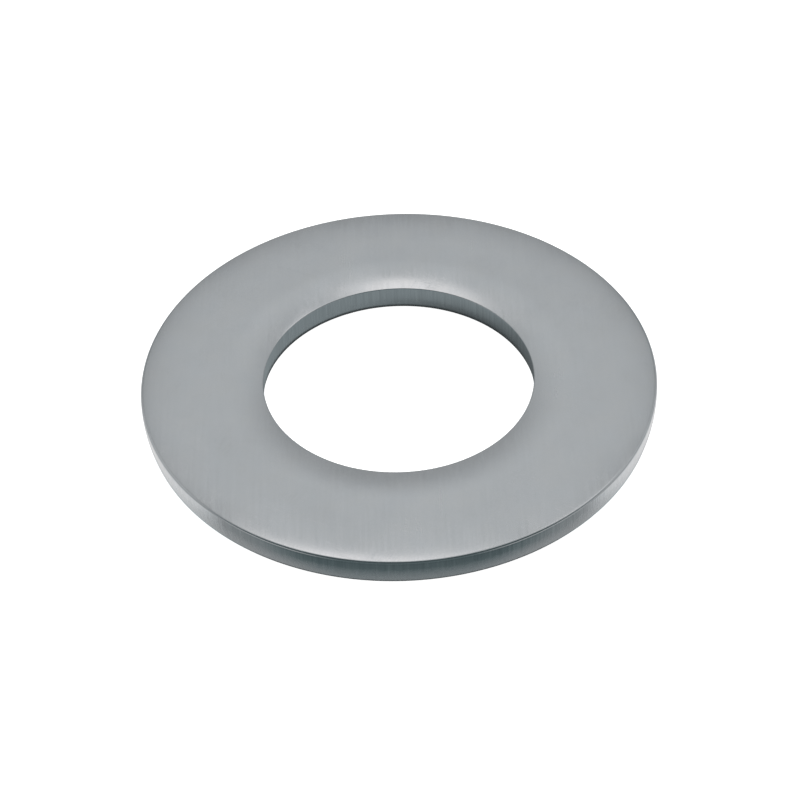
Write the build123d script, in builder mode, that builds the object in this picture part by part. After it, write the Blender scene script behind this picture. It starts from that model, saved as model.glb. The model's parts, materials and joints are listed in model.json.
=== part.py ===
"""Plain flat washer for an M10 screw, stamped from thin sheet: one solid ring.

Millimetres, +Z up. The origin is the centre of the underside, so the washer
lies on Z = 0 with its bore along +Z. The punched side is up, so the section is
that of a blanked ring: the top face rolls over towards both rims in a long
shallow shoulder, each wall has a straight land at its top, below which the rim
draws in and the bore flares, and the underside's edges are only broken.
"""

from build123d import *

import os

# Driving dimensions
OUTSIDE_DIAMETER = 20.0
BORE_DIAMETER = 10.5
THICKNESS = 1.2

# Shoulders of the top face: how far in from the rim each one starts, how far it has
# dropped at the rim, and how much of its width the steep part is set back (0.5 is even)
RIM_SHOULDER_WIDTH = 2.0
RIM_SHOULDER_DROP = 0.095
RIM_SHOULDER_LEAN = 0.72
BORE_SHOULDER_WIDTH = 1.6
BORE_SHOULDER_DROP = 0.16
BORE_SHOULDER_LEAN = 0.5

# Walls: the height where each straight land ends, and how far the wall has moved over
# from there at the underside
RIM_LAND_FOOT = 0.85
RIM_WALL_TAPER = 0.135
BORE_LAND_FOOT = 0.55
BORE_WALL_FLARE = 0.085

# Edge radii
RIM_EDGE_RADIUS = 0.12
BORE_EDGE_RADIUS = 0.03
RIM_BASE_RADIUS = 0.10
BORE_BASE_RADIUS = 0.08

BORE_RADIUS = BORE_DIAMETER / 2
RIM_RADIUS = OUTSIDE_DIAMETER / 2
BORE_SHOULDER_START = BORE_RADIUS + BORE_SHOULDER_WIDTH
RIM_SHOULDER_START = RIM_RADIUS - RIM_SHOULDER_WIDTH

# Corners of the section: X is the distance from the axis and Y the height
bore_edge = (BORE_RADIUS, THICKNESS - BORE_SHOULDER_DROP)
bore_base = (BORE_RADIUS + BORE_WALL_FLARE, 0)
rim_edge = (RIM_RADIUS, THICKNESS - RIM_SHOULDER_DROP)
rim_base = (RIM_RADIUS - RIM_WALL_TAPER, 0)

with BuildPart() as flat_washer:
    with BuildSketch(Plane.XZ) as section:
        with BuildLine():
            Line(bore_base, rim_base)
            rim_land = Line(rim_edge, (RIM_RADIUS, RIM_LAND_FOOT))
            Bezier(rim_land @ 1, (RIM_RADIUS, RIM_LAND_FOOT / 2), rim_base)
            bore_land = Line(bore_edge, (BORE_RADIUS, BORE_LAND_FOOT))
            Bezier(bore_land @ 1, (BORE_RADIUS, BORE_LAND_FOOT / 2), bore_base)
            top_face = Line((BORE_SHOULDER_START, THICKNESS), (RIM_SHOULDER_START, THICKNESS))
            Bezier(
                top_face @ 0,
                (BORE_SHOULDER_START - BORE_SHOULDER_WIDTH * BORE_SHOULDER_LEAN, THICKNESS),
                bore_edge,
            )
            Bezier(
                top_face @ 1,
                (RIM_SHOULDER_START + RIM_SHOULDER_WIDTH * RIM_SHOULDER_LEAN, THICKNESS),
                rim_edge,
            )
        make_face()

        # A fillet renews the section's vertices, so each corner is looked up in turn
        for corner, radius in (
            (bore_edge, BORE_EDGE_RADIUS),
            (bore_base, BORE_BASE_RADIUS),
            (rim_edge, RIM_EDGE_RADIUS),
            (rim_base, RIM_BASE_RADIUS),
        ):
            fillet(section.vertices().sort_by_distance(corner)[0], radius=radius)
    revolve(axis=Axis.Z)

flat_washer.part.label = "flat_washer"

os.makedirs("parts", exist_ok=True)
export_step(flat_washer.part, "parts/flat_washer.step")
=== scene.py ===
"""Looks of the flat washer: a finely meshed ring with a satin plated metal finish.

Everything is in metres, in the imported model's frame: the washer lies on Z = 0
and its bore runs along +Z.
"""

import json
import math

import bpy
import numpy as np
from mathutils import Matrix, Vector


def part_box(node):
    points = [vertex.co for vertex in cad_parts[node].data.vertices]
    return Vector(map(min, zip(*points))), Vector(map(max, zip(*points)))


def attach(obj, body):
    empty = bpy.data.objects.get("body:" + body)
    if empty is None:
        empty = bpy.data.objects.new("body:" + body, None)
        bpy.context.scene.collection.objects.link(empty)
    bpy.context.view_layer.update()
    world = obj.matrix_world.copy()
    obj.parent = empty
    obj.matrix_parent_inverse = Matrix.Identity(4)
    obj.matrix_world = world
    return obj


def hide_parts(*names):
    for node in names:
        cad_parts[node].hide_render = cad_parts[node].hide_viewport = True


MM = 0.001

# Section of the ring, in millimetres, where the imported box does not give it: for each
# side, the top face's shoulder, the height where the wall's straight land ends, how far
# the wall has moved over at the underside, and the two edge radii
RIM_SIDE = {
    "width": 2.0, "drop": 0.095, "lean": 0.72, "foot": 0.85, "taper": 0.135,
    "edge_radius": 0.12, "base_radius": 0.10,
}
BORE_SIDE = {
    "width": 1.6, "drop": 0.16, "lean": 0.5, "foot": 0.55, "taper": 0.085,
    "edge_radius": 0.03, "base_radius": 0.08,
}

# The punch dragged more on one side of the bore: how much deeper the shoulder's edge
# lies there, in millimetres, and in which direction that is, in degrees
BORE_SAG = 0.035
BORE_SAG_TOWARDS = 140.0

# Steps of the mesh, round the ring and then along each stretch of its section
SEGMENTS = 640
SHOULDER_STEPS = 26
EDGE_STEPS = 9
LAND_STEPS = 5
WALL_STEPS = 14
BASE_STEPS = 8
FLAT_STEPS = 6
UNDERSIDE_STEPS = 10

# UV map: the margin round its two rows, and the height of a row
UV_MARGIN = 0.01
UV_ROW = 0.47

# Camera: distance in rim radii from the centre of the underside, angles in degrees
CAMERA_DISTANCE = 10.08
CAMERA_ELEVATION = 42.97
CAMERA_TILT = -0.084
CAMERA_PAN = -0.013
CAMERA_ROLL = 2.174
CAMERA_LENS = 116.14
SENSOR_WIDTH = 36.0

# The plating's two tones, linear
METAL_COOL = (0.548, 0.583, 0.608, 1)
METAL_WARM = (0.556, 0.585, 0.602, 1)

# How strongly each pattern shows in the metal: in its tone, in its roughness, and in its
# relief, which is in millimetres
FACE_TONE = {"grain": 0.020, "hairline": 0.010, "clouds": 0.040, "speckle": 0.012, "marks": 0.03}
WALL_TONE = {"shear": 0.10, "crumb": 0.08}
FACE_ROUGHNESS = 0.20
WALL_ROUGHNESS = 0.18
FACE_ROUGHENING = {"clouds": 0.05, "grain": 0.05, "marks": -0.03}
WALL_ROUGHENING = {"torn": 0.08, "shear": 0.08}
FACE_RELIEF = {"grain": 0.00028, "hairline": 0.00015, "speckle": 0.0006, "marks": -0.0008}
WALL_RELIEF = {"shear": 0.0022, "crumb": 0.0030}

# Studio: the brightness of each zone from its lowest to its highest elevation, and the
# share of it that is lost beside the main soft box and in the gap further out
BACK = (0.465, 0.71)
SIDES = (0.36, 0.72)
OVERHEAD = (0.17, 0.10)
BELOW_FRONT = (0.34, 0.135)
BELOW_BEHIND = 0.93
BESIDE_LOSS = 0.11
GAP_LOSS = 0.36

# Soft boxes high at the back, the main one and a smaller, softer one to its right: how
# far right and how high each stands, how far from its middle its light ends and is full,
# all in degrees, and its strength
SOFT_BOXES = (
    (-4.5, 66.0, 10.9, 8.2, 0.59),
    (18.4, 62.4, 8.8, 4.0, 0.62),
)

# Tint of the studio where it is dark, then the brightness where each next tint begins
# and is full: neutral, and warm in the boxes
TINT_DARK = (0.70, 1.0, 1.04, 1)
TINT_STEPS = (
    (0.0, 0.45, (1, 1, 1, 1)),
    (0.75, 1.15, (1.06, 1.0, 0.985, 1)),
)

# Floor: its radius in metres, how far it and the painted shade card on it lie below the
# washer, in millimetres, and its own glow
FLOOR_REACH = 3.0
FLOOR_GAP = 0.01
PAINTED_SHADE_GAP = 0.005
FLOOR_GLOW = 0.92

# Brightness of the painted shade card, a glowing disc that the metal mirrors as painted
# shade and painted reflection of the floor: inside the bore from left to right, at the
# middle and by the wall, and under the ring from its front and back to its flanks
PAINTED_SHADE_TINT = (0.9, 1.0, 1.02, 1)
PAINTED_SHADE_REACH = 0.992
PAINTED_SHADE_MIDDLE = (0.34, 0.35)
PAINTED_SHADE_BY_WALL = (0.33, 0.13)
PAINTED_SHADE_UNDER_RING = (0.06, 0.60)


def bezier(start, middle, end, steps):
    """Points on a quadratic curve."""
    t = np.linspace(0, 1, steps + 1)[:, None]
    start, middle, end = (np.array(p, float) for p in (start, middle, end))
    return (1 - t) ** 2 * start + 2 * t * (1 - t) * middle + t * t * end


def line(start, end, steps):
    """Points inside a straight line, without its ends."""
    t = np.linspace(0, 1, steps + 1)[1:-1, None]
    return (1 - t) * np.array(start, float) + t * np.array(end, float)


def round_into(points, radius, axis, steps):
    """Cut a curve short and turn it, through an arc, into the side where a coordinate is 0."""
    step = np.gradient(points, axis=0)
    normal = np.stack([step[:, 1], -step[:, 0]], -1)
    normal /= np.linalg.norm(normal, axis=1)[:, None]
    centres = points - radius * normal
    after = int(np.argmax(centres[:, axis] < radius))
    before = after - 1
    share = (centres[before, axis] - radius) / (centres[before, axis] - centres[after, axis])
    centre = centres[before] + share * (centres[after] - centres[before])
    facing = normal[before] + share * (normal[after] - normal[before])
    start = math.atan2(facing[1], facing[0]) % (2 * math.pi)
    end = math.pi if axis == 0 else 1.5 * math.pi
    angles = np.linspace(start, end, steps + 1)
    arc = centre + radius * np.stack([np.cos(angles), np.sin(angles)], -1)
    return np.concatenate([points[:after], arc])


def half_section(top, width, drop, lean, foot, taper, edge_radius, base_radius):
    """One side of the section, from the flat of the top face down to the underside.

    The first coordinate is the distance inwards from the wall's straight land.
    """
    shoulder = bezier((width, top), (width * (1 - lean), top), (0, top - drop), SHOULDER_STEPS)
    shoulder = round_into(shoulder, edge_radius, 0, EDGE_STEPS)
    wall = bezier((0, foot), (0, foot / 2), (taper, 0), WALL_STEPS)
    wall = round_into(wall, base_radius, 1, BASE_STEPS)
    land = line(shoulder[-1], wall[0], LAND_STEPS)
    return np.concatenate([shoulder, land, wall])


def ring_section(bore, rim, top):
    """Closed section of the ring in millimetres, from the foot of the bore wall upwards."""
    inner = half_section(top, **BORE_SIDE)[::-1] + (bore, 0)
    outer = half_section(top, **RIM_SIDE) * (-1, 1) + (rim, 0)
    flat = line(inner[-1], outer[0], FLAT_STEPS)
    underside = line(outer[-1], inner[0], UNDERSIDE_STEPS)
    return np.concatenate([inner, flat, outer, underside])


def sag(section):
    """How far each point of the section sinks where the bore's shoulder is deepest."""
    inwards = np.clip(1 - (section[:, 0] - section[:, 0].min()) / BORE_SIDE["width"], 0, 1)
    return BORE_SAG * inwards ** 2 * (section[:, 1] > BORE_SIDE["foot"])


def ring_mesh(name, section):
    """The section turned once round Z, unrolled in two rows for its UV map."""
    count = len(section)
    angles = np.linspace(0, 2 * math.pi, SEGMENTS, endpoint=False)
    x = np.outer(np.cos(angles), section[:, 0])
    y = np.outer(np.sin(angles), section[:, 0])
    sagging = np.maximum(np.cos(angles - math.radians(BORE_SAG_TOWARDS)), 0) ** 2
    z = section[:, 1] - np.outer(sagging, sag(section))
    vertices = np.stack([x, y, z], -1).reshape(-1, 3) * MM
    turn = np.arange(SEGMENTS)[:, None]
    step = np.arange(count)[None, :]
    here, there = turn * count, (turn + 1) % SEGMENTS * count
    above = (step + 1) % count
    faces = np.stack([here + step, here + above, there + above, there + step], -1)
    mesh = bpy.data.meshes.new(name)
    mesh.from_pydata(vertices.tolist(), [], faces.reshape(-1, 4).tolist())

    # each half turn fills one row: U along the turn and V along the section
    length = np.linalg.norm(np.roll(section, -1, axis=0) - section, axis=1)
    along = np.concatenate([[0], np.cumsum(length)]) / length.sum()
    half = SEGMENTS // 2
    row, start = np.divmod(turn, half)
    u = np.stack([start, start, start + 1, start + 1], -1) / half
    v = np.stack([along[step], along[step + 1], along[step + 1], along[step]], -1)
    u = UV_MARGIN + (1 - 2 * UV_MARGIN) * np.broadcast_to(u, faces.shape)
    v = UV_MARGIN + UV_ROW * v + 0.5 * row[..., None]
    layer = mesh.uv_layers.new(name="OFBake")
    layer.data.foreach_set("uv", np.stack([u, v], -1).reshape(-1).astype(np.float32))
    mesh.shade_smooth()
    mesh.update()
    return mesh


class Nodes:
    """A short way to build a node tree."""

    def __init__(self, tree):
        self.tree = tree
        tree.nodes.clear()

    def add(self, kind, inputs=None, **settings):
        node = self.tree.nodes.new(kind)
        for key, value in settings.items():
            setattr(node, key, value)
        for key, value in (inputs or {}).items():
            if isinstance(value, bpy.types.NodeSocket):
                self.tree.links.new(value, node.inputs[key])
            else:
                node.inputs[key].default_value = value
        return node

    def math(self, operation, a, b=0.0, c=0.0, clamp=False):
        node = self.add("ShaderNodeMath", {0: a, 1: b, 2: c}, operation=operation, use_clamp=clamp)
        return node.outputs[0]

    def vector_math(self, operation, inputs):
        return self.add("ShaderNodeVectorMath", inputs, operation=operation).outputs

    def ramp(self, value, low, high, start=0.0, end=1.0):
        """From start to end, smoothly, as the value goes from low to high."""
        inputs = {0: value, 1: low, 2: high, 3: start, 4: end}
        return self.add("ShaderNodeMapRange", inputs, interpolation_type="SMOOTHSTEP").outputs[0]

    def mix(self, factor, a, b):
        return self.add("ShaderNodeMix", {0: factor, 2: a, 3: b}, data_type="FLOAT").outputs[0]

    def mix_colour(self, factor, a, b):
        return self.add("ShaderNodeMix", {0: factor, 6: a, 7: b}, data_type="RGBA").outputs[2]

    def split(self, vector):
        return self.add("ShaderNodeSeparateXYZ", {0: vector}).outputs

    def from_axis(self, x, y):
        """The distance of a place from the Z axis."""
        flat = self.add("ShaderNodeCombineXYZ", {0: x, 1: y, 2: 0.0}).outputs[0]
        return self.vector_math("LENGTH", {0: flat})["Value"]

    def dim(self, level, loss):
        """A brightness less a share of it."""
        return self.math("MULTIPLY", level, self.math("SUBTRACT", 1.0, loss))

    def total(self, base, strengths, patterns):
        """A base value plus each pattern times its strength."""
        for name, strength in strengths.items():
            base = self.math("MULTIPLY_ADD", patterns[name], strength, base)
        return base

    def noise(self, place, per_mm, detail):
        """Noise from 0 to 1, with its own fineness along each axis; place is in millimetres."""
        mapping = self.add("ShaderNodeMapping", {0: place, 3: per_mm}, vector_type="POINT")
        inputs = {"Vector": mapping.outputs[0], "Scale": 1.0, "Detail": detail}
        return self.add("ShaderNodeTexNoise", inputs).outputs["Fac"]

    def centred(self, value):
        """Noise moved to lie round 0, from about -1 to 1."""
        return self.math("MULTIPLY_ADD", value, 4.0, -2.0)

    def scratches(self, place, angle):
        """Sparse hairlines in one direction, from 0 to 1."""
        turned = self.add("ShaderNodeVectorRotate", {0: place, "Angle": angle}, rotation_type="Z_AXIS")
        turned = turned.outputs[0]
        lines = self.noise(turned, per_mm=(22.0, 0.35, 1.0), detail=0.0)
        patches = self.noise(turned, per_mm=(0.9, 0.5, 1.0), detail=1.0)
        off_line = self.math("ABSOLUTE", self.math("SUBTRACT", lines, 0.5))
        thin = self.ramp(off_line, 0.0, 0.012, 1.0, 0.0)
        return self.math("MULTIPLY", thin, self.ramp(patches, 0.50, 0.66))


def new_material(name):
    """A material and its empty node tree."""
    material = bpy.data.materials.new(name)
    material.use_nodes = True
    return material, Nodes(material.node_tree)


def put(name, data):
    """A new object in the scene."""
    piece = bpy.data.objects.new(name, data)
    bpy.context.scene.collection.objects.link(piece)
    return piece


def metal(bore):
    """Satin zinc plating over rolled sheet on the faces, and over a sheared edge on the walls."""
    material, n = new_material("zinc_plated_steel")
    coordinates = n.add("ShaderNodeTexCoord").outputs
    place = n.vector_math("SCALE", {0: coordinates["Object"], 3: 1 / MM})[0]
    x, y, z = n.split(place)
    upright = n.math("ABSOLUTE", n.split(coordinates["Normal"])[2])
    wall = n.ramp(upright, 0.30, 0.75, 1.0, 0.0)

    # faces: the sheet's rolling grain runs along Y, under cloudy plating and tumbling marks
    grain = n.noise(place, per_mm=(8.0, 0.22, 8.0), detail=4.0)
    hairline = n.noise(place, per_mm=(26.0, 0.5, 26.0), detail=2.0)
    clouds = n.noise(place, per_mm=(0.5, 0.4, 0.5), detail=3.0)
    speckle = n.noise(place, per_mm=(11.0, 11.0, 11.0), detail=3.0)
    marks = n.math("MAXIMUM", n.scratches(place, angle=0.6), n.scratches(place, angle=-1.1))

    # walls: shear marks run along Z, clean on the burnished land and torn below it
    shear = n.noise(place, per_mm=(13.0, 13.0, 0.55), detail=3.0)
    waver = n.noise(place, per_mm=(3.0, 3.0, 0.2), detail=2.0)
    ragged = n.math("MULTIPLY_ADD", waver, 0.35, z)
    inside = n.ramp(n.from_axis(x, y), bore / MM + 0.5, bore / MM + 1.5, 1.0, 0.0)
    foot = n.mix(inside, RIM_SIDE["foot"], BORE_SIDE["foot"])
    torn = n.ramp(n.math("SUBTRACT", ragged, foot), 0.02, 0.16, 1.0, 0.0)
    crumb = n.noise(place, per_mm=(16.0, 16.0, 9.0), detail=4.0)

    # the patterns as heights, and as changes either way from the base
    heights = {
        "grain": grain, "hairline": hairline, "speckle": speckle, "marks": marks,
        "shear": shear, "crumb": n.math("MULTIPLY", crumb, torn),
    }
    changes = {
        "grain": n.centred(grain), "hairline": n.centred(hairline), "clouds": n.centred(clouds),
        "speckle": n.centred(speckle), "marks": marks, "shear": n.centred(shear), "torn": torn,
        "crumb": n.math("MULTIPLY", n.centred(crumb), torn),
    }

    tone = n.mix(wall, n.total(1.0, FACE_TONE, changes), n.total(1.0, WALL_TONE, changes))
    warm_patches = n.centred(n.noise(place, per_mm=(0.8, 0.8, 0.8), detail=2.0))
    warmth = n.math("MULTIPLY_ADD", warm_patches, 0.5, 0.5, clamp=True)
    colour = n.mix_colour(warmth, METAL_COOL, METAL_WARM)
    colour = n.vector_math("SCALE", {0: colour, 3: tone})[0]

    rough = n.mix(
        wall,
        n.total(FACE_ROUGHNESS, FACE_ROUGHENING, changes),
        n.total(WALL_ROUGHNESS, WALL_ROUGHENING, changes),
    )
    relief = n.mix(wall, n.total(0.0, FACE_RELIEF, heights), n.total(0.0, WALL_RELIEF, heights))
    bump = n.add("ShaderNodeBump", {"Strength": 1.0, "Distance": MM, "Height": relief}).outputs[0]

    shader = n.add("ShaderNodeBsdfPrincipled", {
        "Base Color": colour, "Metallic": 1.0, "Roughness": rough, "Normal": bump,
    })
    n.add("ShaderNodeOutputMaterial", {0: shader.outputs[0]})
    return material


def soft_boxes(n, direction, level):
    """The brightness with the light of the soft boxes added."""
    for sideways, elevation, outer, inner, strength in SOFT_BOXES:
        aside, lift = math.radians(sideways), math.radians(elevation)
        back = math.cos(aside)
        middle = Vector((math.sin(aside), back * math.cos(lift), back * math.sin(lift)))
        towards = n.vector_math("DOT_PRODUCT", {0: direction, 1: middle})["Value"]
        edge = (math.cos(math.radians(outer)), math.cos(math.radians(inner)))
        level = n.math("ADD", level, n.ramp(towards, *edge, 0.0, strength))
    return level


def studio_above(n, direction, across, y, z):
    """Brightness of the upper half of the studio; z is the sine of the elevation."""
    # the back is paler from 27 to 44 degrees up, and dimmer beside the main box and further out
    level = n.ramp(z, 0.46, 0.70, *BACK)
    beside = n.math("MULTIPLY", n.ramp(across, 0.04, 0.20), n.ramp(z, 0.66, 0.78, 0.0, BESIDE_LOSS))
    level = n.dim(level, beside)
    gap_start = n.ramp(across, 0.08, 0.48, 0.0, GAP_LOSS)
    gap_end = n.ramp(across, 0.55, 0.75, 0.0, GAP_LOSS)
    level = n.dim(level, n.math("SUBTRACT", gap_start, gap_end))
    level = soft_boxes(n, direction, level)

    # the far left and right grow paler all the way up
    level = n.mix(n.ramp(across, 0.45, 0.65), level, n.ramp(z, 0.0, 0.60, *SIDES))

    # dark overhead and towards the camera: from the front, only the rolled edges mirror it
    low_edge = n.mix(n.ramp(across, 0.35, 0.60), n.ramp(z, -0.05, 0.10), n.ramp(z, 0.35, 0.65))
    forward = n.math("MULTIPLY_ADD", across, -0.4, y)
    overhead = n.math("MULTIPLY", n.ramp(forward, -0.06, -0.26), low_edge)
    overhead = n.math("MULTIPLY", overhead, n.ramp(across, 0.70, 1.00, 1.0, 0.0))
    return n.mix(overhead, level, n.ramp(z, 0.42, 0.75, *OVERHEAD))


def studio_below(n, across, y, z):
    """Brightness of the lower half, dark in front and bright behind and at the sides."""
    front = n.ramp(z, -1.0, -0.68, *BELOW_FRONT)
    back_and_sides = n.math("MULTIPLY_ADD", across, 1.19, y)
    first_rise = n.ramp(back_and_sides, 0.0, 0.7, 0.0, 0.25)
    second_rise = n.ramp(back_and_sides, 0.75, 1.08, 0.0, 0.75)
    return n.mix(n.math("ADD", first_rise, second_rise), front, BELOW_BEHIND)


def studio_world():
    """The studio that lights the metal; the camera sees plain white instead."""
    world = bpy.data.worlds.new("studio")
    world.use_nodes = True
    bpy.context.scene.world = world
    n = Nodes(world.node_tree)
    direction = n.add("ShaderNodeTexCoord").outputs["Generated"]
    x, y, z = n.split(direction)
    across = n.math("ABSOLUTE", x)
    below = studio_below(n, across, y, z)
    above = studio_above(n, direction, across, y, z)
    level = n.mix(n.ramp(z, -0.06, 0.06), below, above)
    tint = TINT_DARK
    for low, high, colour in TINT_STEPS:
        tint = n.mix_colour(n.ramp(level, low, high), tint, colour)
    seen = n.add("ShaderNodeBackground", {0: tint, 1: level})
    pale = n.add("ShaderNodeBackground", {0: (1, 1, 1, 1), 1: 1.0})
    camera_ray = n.add("ShaderNodeLightPath").outputs["Is Camera Ray"]
    both = n.add("ShaderNodeMixShader", {0: camera_ray, 1: seen.outputs[0], 2: pale.outputs[0]})
    n.add("ShaderNodeOutputWorld", {0: both.outputs[0]})


def disc(name, radius, height, segments=96):
    """A flat round piece of the stage, facing up."""
    angles = np.linspace(0, 2 * math.pi, segments, endpoint=False)
    points = [(radius * math.cos(a), radius * math.sin(a), height) for a in angles]
    mesh = bpy.data.meshes.new(name)
    mesh.from_pydata(points, [], [tuple(range(segments))])
    piece = put(name, mesh)
    return piece


def floor():
    """The white floor, which the metal does not mirror."""
    piece = disc("floor", FLOOR_REACH, -FLOOR_GAP * MM)
    material, n = new_material("floor_white")
    shader = n.add("ShaderNodeBsdfPrincipled", {
        "Base Color": (0.8, 0.8, 0.8, 1), "Roughness": 1.0, "Specular IOR Level": 0.0,
        "Emission Color": (1, 1, 1, 1), "Emission Strength": FLOOR_GLOW,
    })
    n.add("ShaderNodeOutputMaterial", {0: shader.outputs[0]})
    piece.data.materials.append(material)
    piece.visible_glossy = False


def painted_shade_card(bore, rim):
    """Painted shade: a dark glowing disc that the metal mirrors as the floor shaded under and inside
    the ring; only glossy rays meet it.
    """
    piece = disc("painted_shade_card", rim * PAINTED_SHADE_REACH, -PAINTED_SHADE_GAP * MM)
    material, n = new_material("painted_shade_glow")
    x, y, z = n.split(n.add("ShaderNodeTexCoord").outputs["Object"])
    radius = n.from_axis(x, y)
    right = n.ramp(x, -bore * 0.6, bore * 0.8)
    near_wall = n.ramp(radius, bore * 0.80, bore * 0.995)
    # painted shade inside the bore: dimmer by the wall's foot, most on the right
    inside = n.mix(near_wall, n.mix(right, *PAINTED_SHADE_MIDDLE), n.mix(right, *PAINTED_SHADE_BY_WALL))
    # painted shade under the ring, darkest under its front and back, paler under its flanks
    flank = n.ramp(n.math("ABSOLUTE", x), rim * 0.45, rim * 0.80)
    level = n.mix(n.ramp(radius, bore * 0.985, bore), inside, n.mix(flank, *PAINTED_SHADE_UNDER_RING))
    shader = n.add("ShaderNodeEmission", {0: PAINTED_SHADE_TINT, 1: level})
    n.add("ShaderNodeOutputMaterial", {0: shader.outputs[0]})
    piece.data.materials.append(material)
    piece.visible_camera = False
    piece.visible_diffuse = False
    piece.visible_shadow = False
    piece.visible_transmission = False
    piece.visible_volume_scatter = False


def floor_light():
    """A wide light straight down, for the floor: the metal does not mirror it."""
    data = bpy.data.lights.new("floor_light", "SUN")
    data.energy = 1.2
    data.angle = math.radians(60)
    lamp = put("floor_light", data)
    lamp.visible_glossy = False


def camera(rim):
    """A camera in front of the washer, looking down at it."""
    data = bpy.data.cameras.new("camera")
    data.lens = CAMERA_LENS
    data.sensor_width = SENSOR_WIDTH
    data.clip_start = 0.001
    data.clip_end = 20.0
    eye = put("camera", data)
    elevation = math.radians(CAMERA_ELEVATION)
    place = Vector((0, -math.cos(elevation), math.sin(elevation))) * CAMERA_DISTANCE * rim
    forward = -place.normalized()
    right = Vector((1, 0, 0))
    up = right.cross(forward)
    pan, tilt, roll = (math.radians(angle) for angle in (CAMERA_PAN, CAMERA_TILT, CAMERA_ROLL))
    turn = Matrix.Rotation(pan, 3, up)
    forward, right = turn @ forward, turn @ right
    turn = Matrix.Rotation(tilt, 3, right)
    forward, up = turn @ forward, turn @ up
    turn = Matrix.Rotation(roll, 3, forward)
    right, up = turn @ right, turn @ up
    basis = Matrix((right, up, -forward)).transposed().to_4x4()
    eye.matrix_world = Matrix.Translation(place) @ basis
    bpy.context.scene.camera = eye


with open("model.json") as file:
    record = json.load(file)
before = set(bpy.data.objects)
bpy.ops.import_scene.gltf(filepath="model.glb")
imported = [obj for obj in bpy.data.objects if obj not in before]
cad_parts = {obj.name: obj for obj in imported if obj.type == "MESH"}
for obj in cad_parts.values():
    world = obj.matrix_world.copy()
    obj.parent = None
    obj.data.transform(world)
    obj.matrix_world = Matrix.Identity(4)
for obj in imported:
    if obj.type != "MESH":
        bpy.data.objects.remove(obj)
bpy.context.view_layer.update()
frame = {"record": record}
low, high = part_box("flat_washer")
rim = (high.x - low.x) / 2
top = high.z
bore = next(m for m in frame["record"]["mounts"] if m["name"] == "bore")["dims"]["r_mm"] * MM

bpy.context.scene.view_settings.view_transform = "Standard"

section = ring_section(bore / MM, rim / MM, top / MM)
washer = put("washer", ring_mesh("washer", section))
washer.data.materials.append(metal(bore))
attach(washer, "root")
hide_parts("flat_washer")

studio_world()
floor()
# painted shade: a glowing disc that the metal mirrors as the floor shaded under and inside the ring
painted_shade_card(bore, rim)
floor_light()
camera(rim)
